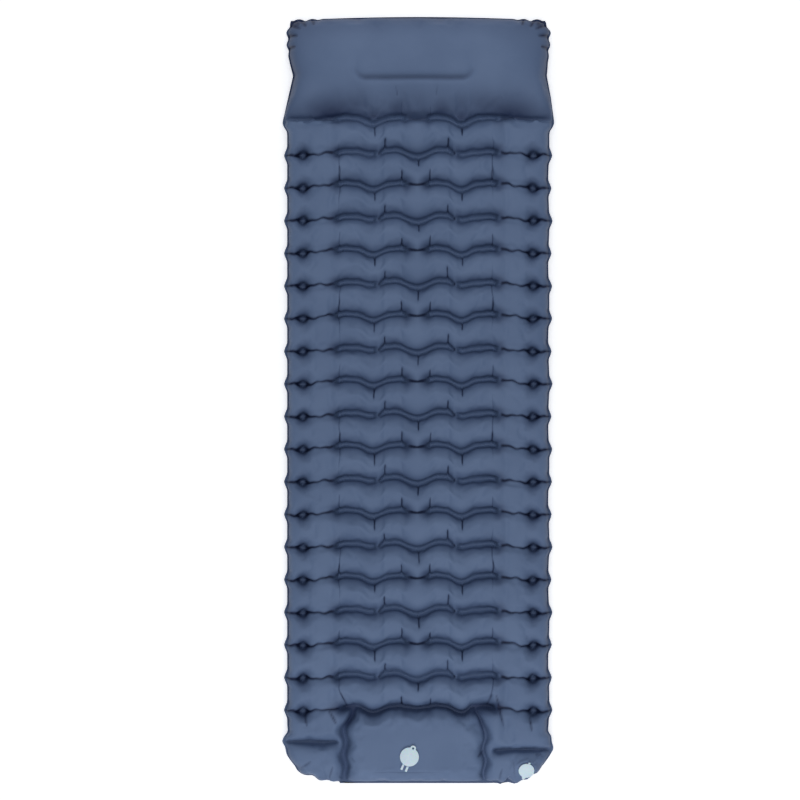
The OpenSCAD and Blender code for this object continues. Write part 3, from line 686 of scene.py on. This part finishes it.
def coated_nylon(name, bright, deep):
    """Matt nylon cloth: a dull blue that clouds a little, with a fine weave and small crumples that
    soften every highlight, paled on the welds by painted sheen and darkened in the folds and hollows by
    painted shade."""
    material = blank_material(name)
    place = add(material, "ShaderNodeTexCoord").outputs["Object"]
    weld = add(material, "ShaderNodeAttribute", attribute_name="weld").outputs["Fac"]
    cloud = add(material, "ShaderNodeTexNoise", {"Vector": place}, Scale=9.0, Detail=4.0).outputs["Fac"]
    tone = add(material, "ShaderNodeValToRGB", {"Fac": cloud})
    tone.color_ramp.elements[0].position = 0.35
    tone.color_ramp.elements[0].color = linear(deep)
    tone.color_ramp.elements[1].position = 0.65
    tone.color_ramp.elements[1].color = linear(bright)
    # painted shade: the colour is mixed towards deep navy where the cloth lies deep between the tubes and
    # beside the welds
    hollow = add(material, "ShaderNodeAttribute", attribute_name="hollow").outputs["Fac"]
    in_hollow = add(material, "ShaderNodeMath", {0: hollow}, operation="MULTIPLY")
    in_hollow.inputs[1].default_value = 0.92
    dim = add(material, "ShaderNodeMixRGB", {"Fac": in_hollow.outputs[0], "Color1": tone.outputs["Color"]},
              Color2=linear("#1A294F"))
    # painted shade in the creases: the deeper a crease, the darker the colour
    fold = add(material, "ShaderNodeAttribute", attribute_name="fold").outputs["Fac"]
    in_fold = add(material, "ShaderNodeMapRange", {"Value": fold},
                  From_Min=0.5, From_Max=3.2, To_Min=0.0, To_Max=0.9)
    shaded_folds = add(material, "ShaderNodeMixRGB", {"Fac": in_fold.outputs[0], "Color1": dim.outputs["Color"]},
               Color2=linear("#111C3D"))
    # painted sheen: the flat welds are coloured paler, as if catching the light
    sheen_on_welds = add(material, "ShaderNodeMixRGB", {"Fac": weld, "Color1": shaded_folds.outputs["Color"]},
               Color2=linear("#60759A"))
    warp = add(material, "ShaderNodeTexWave", {"Vector": place}, bands_direction="X",
               Scale=math.tau / WEAVE / 20)
    weft = add(material, "ShaderNodeTexWave", {"Vector": place}, bands_direction="Y",
               Scale=math.tau / WEAVE / 20)
    weave = add(material, "ShaderNodeMath", {0: warp.outputs["Fac"], 1: weft.outputs["Fac"]},
                operation="MULTIPLY")
    threads = add(material, "ShaderNodeBump", {"Height": weave.outputs[0]}, Strength=0.12, Distance=0.0002)
    crumple = add(material, "ShaderNodeTexNoise", {"Vector": place}, Scale=60.0, Detail=3.0).outputs["Fac"]
    skin = add(material, "ShaderNodeBump", {"Height": crumple, "Normal": threads.outputs["Normal"]},
               Strength=0.25, Distance=0.0015)
    shader = add(material, "ShaderNodeBsdfPrincipled",
                 {"Base Color": sheen_on_welds.outputs["Color"], "Normal": skin.outputs["Normal"]},
                 Roughness=0.6, IOR=1.45, Specular_IOR_Level=0.3)
    add(material, "ShaderNodeOutputMaterial", {"Surface": shader.outputs["BSDF"]})
    return material


top_cloth = coated_nylon("blue_coated_nylon", "#697EA2", "#63789C")
under_cloth = coated_nylon("grey_coated_nylon_underside", "#62769A", "#5C7094")
top_fabric.data.materials.append(top_cloth)
pump_cover.data.materials.append(top_cloth)
bottom_fabric.data.materials.append(under_cloth)


# ---- The moulded valve parts ----
# The intake and the air valve are injection-moulded in pale translucent TPU: flange, neck, seat,
# cap and tether. Every edge has a small radius from the mould, and the skin is softly glossy.

def tpu_moulding(name, colour, roughness, through):
    """Satin moulded TPU: a pale, slightly cloudy skin with a broad soft sheen."""
    material = blank_material(name)
    place = add(material, "ShaderNodeTexCoord").outputs["Object"]
    flow = add(material, "ShaderNodeTexNoise", {"Vector": place}, Scale=70.0, Detail=2.0).outputs["Fac"]
    tone = add(material, "ShaderNodeValToRGB", {"Fac": flow})
    tone.color_ramp.elements[0].color = linear(colour)
    tone.color_ramp.elements[1].color = [min(1, c * 1.06) for c in linear(colour)[:3]] + [1]
    grain = add(material, "ShaderNodeTexNoise", {"Vector": place}, Scale=1800.0, Detail=1.0).outputs["Fac"]
    matt = add(material, "ShaderNodeBump", {"Height": grain}, Strength=0.2, Distance=0.0001)
    shader = add(material, "ShaderNodeBsdfPrincipled",
                 {"Base Color": tone.outputs["Color"], "Normal": matt.outputs["Normal"]},
                 Roughness=roughness, IOR=1.5, Transmission_Weight=through, Subsurface_Weight=0.15,
                 Subsurface_Scale=0.002)
    add(material, "ShaderNodeOutputMaterial", {"Surface": shader.outputs["BSDF"]})
    return material


def moulded(node, name, body, material, radius):
    """The CAD piece with its edges rounded as a mould leaves them."""
    mesh = nodes[node].data.copy()
    piece = new_object(name, mesh)
    shape = bmesh.new()
    shape.from_mesh(mesh)
    bmesh.ops.remove_doubles(shape, verts=shape.verts, dist=0.01 * MM)
    bmesh.ops.dissolve_limit(shape, angle_limit=math.radians(1.5), verts=shape.verts, edges=shape.edges)
    sharp = [e for e in shape.edges if len(e.link_faces) == 2 and e.calc_face_angle() > math.radians(35)]
    bmesh.ops.bevel(shape, geom=sharp, offset=radius, segments=2, profile=0.5, affect="EDGES",
                    clamp_overlap=True)
    shape.to_mesh(mesh)
    shape.free()
    smooth_faces(mesh)
    mesh.set_sharp_from_angle(angle=math.radians(40))
    mesh.materials.clear()
    mesh.materials.append(material)
    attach(piece, body)
    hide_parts(node)
    return piece


cap_tpu = tpu_moulding("pale_blue_tpu_cap", "#D8EDFF", 0.4, 0.0)
body_tpu = tpu_moulding("clear_tpu_valve_body", "#D8E8F2", 0.35, 0.1)
silicone = tpu_moulding("milky_silicone_flap", "#E6ECEE", 0.5, 0.0)
moulded("intake_flange", "intake_body", "pump_top", body_tpu, 0.3 * MM)
moulded("intake_tether", "intake_strap", "pump_top", cap_tpu, 0.3 * MM)
moulded("intake_cap", "intake_lid", "intake_cap", cap_tpu, 0.5 * MM)
moulded("valve_flange", "air_valve_body", "mattress", body_tpu, 0.3 * MM)
moulded("valve_seat", "air_valve_seat_ring", "air_valve_seat", body_tpu, 0.25 * MM)
moulded("valve_tether", "air_valve_strap", "air_valve_seat", cap_tpu, 0.3 * MM)
moulded("valve_cap", "air_valve_lid", "air_valve_cap", cap_tpu, 0.5 * MM)


# ---- The parts inside ----
# Silicone flaps shut each opening against the air; a film closes the pump off from the bed; the
# foam block springs the pump's cover back; a band of film ties the pillow's top to its underside.

for node in ("intake_flap", "valve_flap", "transfer_valve_flap"):
    nodes[node].data.materials.clear()
    nodes[node].data.materials.append(silicone)
for node, material in (("transfer_valve_seat", body_tpu), ("pump_liner", under_cloth)):
    nodes[node].data.materials.clear()
    nodes[node].data.materials.append(material)

BAND_THICK = 0.8 * MM
BAND_LEVELS = 6
BAND_STEPS = 160


def band_ring(inset):
    """Even steps round the band's rounded rectangle, seen from above."""
    corner = BAND_CORNER - inset
    places = []
    for turn in range(4):
        across = (band_half.x - BAND_CORNER) * (1 if turn in (0, 3) else -1)
        along = (band_half.y - BAND_CORNER) * (1 if turn in (0, 1) else -1)
        for angle in np.linspace(turn, turn + 1, 9) * math.pi / 2:
            places.append((band_mid.x + across + corner * math.cos(angle),
                           band_mid.y + along + corner * math.sin(angle)))
    places = np.array(places + places[:1])
    walked = np.concatenate([[0], np.cumsum(np.hypot(*np.diff(places, axis=0).T))])
    steps = np.linspace(0, walked[-1], BAND_STEPS, endpoint=False)
    return np.stack([np.interp(steps, walked, places[:, 0]), np.interp(steps, walked, places[:, 1])], -1)


pillow_points = top[:np.nonzero(fine_rows == 0)[0].min()].reshape(-1, 3)
band_points = []
for inset, levels in ((0, np.linspace(0, 1, BAND_LEVELS)), (BAND_THICK, np.linspace(1, 0, BAND_LEVELS))):
    ring = band_ring(inset)
    nearest = np.array([((pillow_points[:, :2] - place) ** 2).sum(-1).argmin() for place in ring])
    crown = np.minimum(pillow_points[nearest, 2] - 1.2 * MM, band_high.z)
    for part in levels:
        band_points.append(np.column_stack([ring, band_low.z + (crown - band_low.z) * part]))
band_points = np.array(band_points + band_points[:1])
band_mesh = bpy.data.meshes.new("tie_band")
tour = len(band_points) - 1
band_faces = [(i * BAND_STEPS + k, i * BAND_STEPS + (k + 1) % BAND_STEPS,
               (i + 1) % tour * BAND_STEPS + (k + 1) % BAND_STEPS, (i + 1) % tour * BAND_STEPS + k)
              for i in range(tour) for k in range(BAND_STEPS)]
band_mesh.from_pydata(band_points[:-1].reshape(-1, 3).tolist(), [], band_faces)
smooth_faces(band_mesh)
band_mesh.set_sharp_from_angle(angle=math.radians(40))
band_mesh.materials.append(under_cloth)
tie_band = new_object("tie_band", band_mesh)
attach(tie_band, "mattress")
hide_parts("pillow_tie_band")

# the foam is notched beside the transfer valve, and has a well below the intake for its flap
NOTCH_X = 60 * MM
WELL_R = 37 * MM
WELL_DEPTH = 29 * MM


def grown_points(grown):
    """The points among what an extrusion made."""
    return [v for v in grown["geom"] if isinstance(v, bmesh.types.BMVert)]


foam_low, foam_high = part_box("pump_foam")
foam_shape = bmesh.new()
bmesh.ops.create_grid(foam_shape, x_segments=28, y_segments=12, size=1)
half = (foam_high - foam_low) / 2
centre = (foam_high + foam_low) / 2
upper = list(foam_shape.faces)
walls = bmesh.ops.extrude_face_region(foam_shape, geom=upper)
raised = grown_points(walls)
for vertex in foam_shape.verts:
    level_at = 1 if vertex in raised else -1
    vertex.co = Vector((vertex.co.x * (half.x - 9 * MM) + centre.x, vertex.co.y * (half.y - 6 * MM) + centre.y,
                        centre.z + level_at * (half.z - 1.5 * MM) - 0.5 * MM))
    beside_valve = ramp((26 * MM - abs(vertex.co.x - NOTCH_X)) / (10 * MM))
    vertex.co.y = foam_low.y + (vertex.co.y - foam_low.y) * (1 - 0.2 * beside_valve)
bmesh.ops.recalc_face_normals(foam_shape, faces=foam_shape.faces)
rim_edges = [e for e in foam_shape.edges if len(e.link_faces) == 2 and e.calc_face_angle() > 0.6]
bmesh.ops.bevel(foam_shape, geom=rim_edges, offset=6 * MM, segments=4, profile=0.5, affect="EDGES")
pump_well = [f for f in foam_shape.faces if f.normal.z > 0.9
             and math.hypot(f.calc_center_median().x - INTAKE.x, f.calc_center_median().y - INTAKE.y) < WELL_R]
dug = bmesh.ops.extrude_face_region(foam_shape, geom=pump_well)
bmesh.ops.translate(foam_shape, vec=(0, 0, -WELL_DEPTH), verts=grown_points(dug))
bmesh.ops.delete(foam_shape, geom=pump_well, context="FACES")
foam_mesh = bpy.data.meshes.new("foam_block")
foam_shape.to_mesh(foam_mesh)
foam_shape.free()
smooth_faces(foam_mesh)
foam_block = new_object("foam_block", foam_mesh)

# open-cell foam: a dry cream sponge, all pores and no shine
pu_foam = blank_material("open_cell_pu_foam")
place = add(pu_foam, "ShaderNodeTexCoord").outputs["Object"]
cells = add(pu_foam, "ShaderNodeTexVoronoi", {"Vector": place}, Scale=700.0)
pores = add(pu_foam, "ShaderNodeBump", {"Height": cells.outputs["Distance"]}, Strength=0.6, Distance=0.0006)
foam_tone = add(pu_foam, "ShaderNodeValToRGB", {"Fac": cells.outputs["Distance"]})
foam_tone.color_ramp.elements[0].color = linear("#C9BFA6")
foam_tone.color_ramp.elements[1].color = linear("#E9E1CB")
foam_shader = add(pu_foam, "ShaderNodeBsdfPrincipled",
                  {"Base Color": foam_tone.outputs["Color"], "Normal": pores.outputs["Normal"]},
                  Roughness=0.95)
add(pu_foam, "ShaderNodeOutputMaterial", {"Surface": foam_shader.outputs["BSDF"]})
foam_mesh.materials.append(pu_foam)
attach(foam_block, "mattress")
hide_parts("pump_foam")
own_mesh(foam_block)


# ---- The studio ----
# A plain pale floor with soft light from both ends and above, and the camera straight overhead.

floor_mesh = bpy.data.meshes.new("floor")
floor_mesh.from_pydata([(-40, -40, 0), (40, -40, 0), (40, 40, 0), (-40, 40, 0)], [], [(0, 1, 2, 3)])
floor = new_object("floor", floor_mesh)
paper = bpy.data.materials.new("white_paper")
paper.use_nodes = True
paper.node_tree.nodes["Principled BSDF"].inputs["Base Color"].default_value = linear("#FDFDFD")
paper.node_tree.nodes["Principled BSDF"].inputs["Roughness"].default_value = 0.9
paper.node_tree.nodes["Principled BSDF"].inputs["Emission Color"].default_value = (1, 1, 1, 1)
paper.node_tree.nodes["Principled BSDF"].inputs["Emission Strength"].default_value = 0.47
floor_mesh.materials.append(paper)


def soft_light(name, place, aim, width, depth, power):
    """A large rectangular lamp turned towards a point."""
    lamp = bpy.data.lights.new(name, "AREA")
    lamp.shape = "RECTANGLE"
    lamp.size = width
    lamp.size_y = depth
    lamp.energy = power
    piece = new_object(name, lamp)
    piece.location = place
    piece.rotation_euler = (Vector(aim) - Vector(place)).to_track_quat("-Z", "Y").to_euler()


soft_light("head_light", (0, 2.3, 1.5), (0, 0.35, 0), 2.4, 0.9, 13.5)
soft_light("foot_light", (0, -2.3, 1.5), (0, -0.35, 0), 2.4, 0.9, 20)
soft_light("sky_light", (0, 0, 6), (0, 0, 0), 3.5, 4.5, 118)
world = bpy.data.worlds.new("room")
world.use_nodes = True
world.node_tree.nodes["Background"].inputs["Color"].default_value = (1, 1, 1, 1)
# the room gives little light, but stands pale behind the floor's far edge
seen = world.node_tree.nodes.new("ShaderNodeLightPath").outputs["Is Camera Ray"]
room_light = world.node_tree.nodes.new("ShaderNodeMath")
room_light.operation = "MULTIPLY_ADD"
world.node_tree.links.new(seen, room_light.inputs[0])
room_light.inputs[1].default_value = 0.8
room_light.inputs[2].default_value = 0.1
world.node_tree.links.new(room_light.outputs[0], world.node_tree.nodes["Background"].inputs["Strength"])
bpy.context.scene.world = world
bpy.context.scene.view_settings.view_transform = "Standard"

camera = new_object("camera", bpy.data.cameras.new("camera"))
bpy.context.scene.camera = camera
CAMERA_HEIGHT = 6.0
VIEW_WIDTH = 2.0366
SENSOR = 36
camera.location = (-45.8 * MM, 0, CAMERA_HEIGHT + WELD_Z)
camera.data.sensor_width = SENSOR
camera.data.lens = SENSOR * CAMERA_HEIGHT / VIEW_WIDTH
